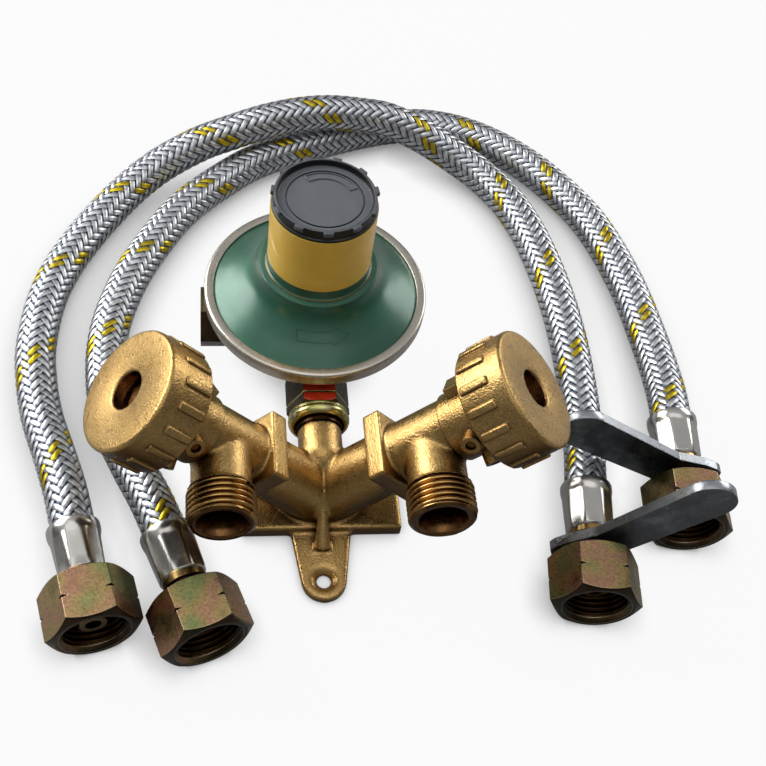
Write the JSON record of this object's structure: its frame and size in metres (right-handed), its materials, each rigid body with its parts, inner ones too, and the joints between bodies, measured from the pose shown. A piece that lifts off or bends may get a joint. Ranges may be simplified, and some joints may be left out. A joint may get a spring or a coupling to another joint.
{
  "type": "two cylinder gas regulator",
  "caption": "Gas regulator for two cylinders with a brass valve manifold, two hand valves, two loose braided hoses and two flat keys.",
  "frame": {"origin": "centre of the fixing hole in the tab, on the back face", "axes": "+X towards the right hand valve, +Y from the fixing hole to the regulator, +Z out of the wall or table"},
  "size_m": [0.2267, 0.2329, 0.0778],
  "materials": {
    "cast_brass": "satin",
    "turned_brass": "semi-gloss",
    "copper": "satin",
    "bright_steel": "satin",
    "rubber": "matte",
    "yellow_zinc": "satin",
    "red_plastic": "matte",
    "dark_case": "satin",
    "aluminium": "satin",
    "green_paint": "gloss",
    "crimp_steel": "satin",
    "yellow_band": "gloss",
    "black_plastic": "satin",
    "nickel": "polished",
    "key_steel": "satin",
    "hose_braid": "metal braid over rubber"
  },
  "bodies": {
    "base": {"manifold": "cast_brass", "bonnet_l": "cast_brass", "bonnet_r": "cast_brass", "boss_pins": "bright_steel", "packing_l": "rubber", "packing_r": "rubber", "gland_nut_l": "turned_brass", "gland_nut_r": "turned_brass", "stem_ring": "copper", "union_gasket": "rubber", "inlet_nipple": "turned_brass", "red_sleeve": "red_plastic", "reg_lower": "dark_case", "jet": "turned_brass", "lever_pin": "bright_steel", "membrane": "rubber", "main_spring": "bright_steel", "adjuster": "turned_brass", "reg_cover": "green_paint", "crimp_ring": "crimp_steel", "label_band": "yellow_band", "nipple_1": "turned_brass", "nipple_2": "turned_brass", "nipple_3": "turned_brass", "nipple_4": "turned_brass", "ferrule_1": "nickel", "ferrule_2": "nickel", "ferrule_3": "nickel", "ferrule_4": "nickel", "hose_a": "hose_braid", "hose_b": "hose_braid"},
    "wheel_l": {"spindle_l": "turned_brass", "handwheel_l": "cast_brass", "wheel_nut_l": "bright_steel"},
    "wheel_r": {"spindle_r": "turned_brass", "handwheel_r": "cast_brass", "wheel_nut_r": "bright_steel"},
    "plug_l": {"plug_l": "turned_brass", "seat_pad_l": "rubber"},
    "plug_r": {"plug_r": "turned_brass", "seat_pad_r": "rubber"},
    "union_nut": {"union_nut": "yellow_zinc"},
    "cap": {"cap": "black_plastic"},
    "disc": {"membrane_plate": "aluminium"},
    "lever": {"lever": "bright_steel", "jet_pad": "rubber"},
    "key_3": {"key_3": "key_steel"},
    "key_4": {"key_4": "key_steel"},
    "nut_1": {"hose_nut_1": "yellow_zinc"},
    "nut_2": {"hose_nut_2": "yellow_zinc"},
    "nut_3": {"hose_nut_3": "yellow_zinc"},
    "nut_4": {"hose_nut_4": "yellow_zinc"}
  },
  "joints": [
    {"name": "valve_l", "type": "hinge", "parent": "base", "child": "wheel_l", "pos_m": [-0.0495, 0.027, 0.0555], "axis": [-0.7071, 0, 0.7071], "range_deg": [0, 720]},
    {"name": "plug_lift_l", "type": "slide", "parent": "base", "child": "plug_l", "axis": [-0.7071, 0, 0.7071], "range_m": [0, 0.003]},
    {"name": "valve_r", "type": "hinge", "parent": "base", "child": "wheel_r", "pos_m": [0.0495, 0.027, 0.0555], "axis": [0.7071, 0, 0.7071], "range_deg": [0, 720]},
    {"name": "plug_lift_r", "type": "slide", "parent": "base", "child": "plug_r", "axis": [0.7071, 0, 0.7071], "range_m": [0, 0.003]},
    {"name": "union_turn", "type": "hinge", "parent": "base", "child": "union_nut", "pos_m": [0, 0.0491, 0.017], "axis": [0, 1, 0], "continuous": true},
    {"name": "nut_turn_1", "type": "hinge", "parent": "base", "child": "nut_1", "pos_m": [-0.06774, -0.01274, 0.012], "axis": [0.2419, -0.9703, 0], "continuous": true},
    {"name": "nut_turn_2", "type": "hinge", "parent": "base", "child": "nut_2", "pos_m": [-0.03694, -0.01678, 0.012], "axis": [0.342, -0.9397, 0], "continuous": true},
    {"name": "nut_turn_3", "type": "hinge", "parent": "base", "child": "nut_3", "pos_m": [0.07952, -0.00815, 0.012], "axis": [-0.1149, -0.9934, 0], "continuous": true},
    {"name": "nut_turn_4", "type": "hinge", "parent": "base", "child": "nut_4", "pos_m": [0.1141, 0.01646, 0.012], "axis": [-0.0993, -0.9951, 0], "continuous": true},
    {"name": "key_swing_3", "type": "hinge", "parent": "base", "child": "key_3", "pos_m": [0.08092, 0.00397, 0.012], "axis": [-0.1149, -0.9934, 0], "range_deg": [-50, 35]},
    {"name": "key_swing_4", "type": "hinge", "parent": "base", "child": "key_4", "pos_m": [0.11546, 0.03019, 0.012], "axis": [0.0993, 0.9951, 0], "range_deg": [-3, 55]},
    {"name": "cap_turn", "type": "hinge", "parent": "base", "child": "cap", "pos_m": [0, 0.0871, 0.0735], "axis": [0, 0, 1], "range_deg": [0, 360]},
    {"name": "membrane_travel", "type": "slide", "parent": "base", "child": "disc", "axis": [0, 0, 1], "range_m": [-0.002, 0], "stiffness_N_per_m": 1000, "deforming": ["main_spring"]},
    {"name": "lever_tilt", "type": "hinge", "parent": "base", "child": "lever", "pos_m": [0, 0.0766, 0.0122], "axis": [1, 0, 0], "range_deg": [-11, 0]}
  ],
  "couplings": [
    {"joint": "plug_lift_l", "follows": "valve_l", "m_per_rad": 0.00023861},
    {"joint": "plug_lift_r", "follows": "valve_r", "m_per_rad": 0.00023861},
    {"joint": "lever_tilt", "follows": "membrane_travel", "rad_per_m": 95.238}
  ]
}
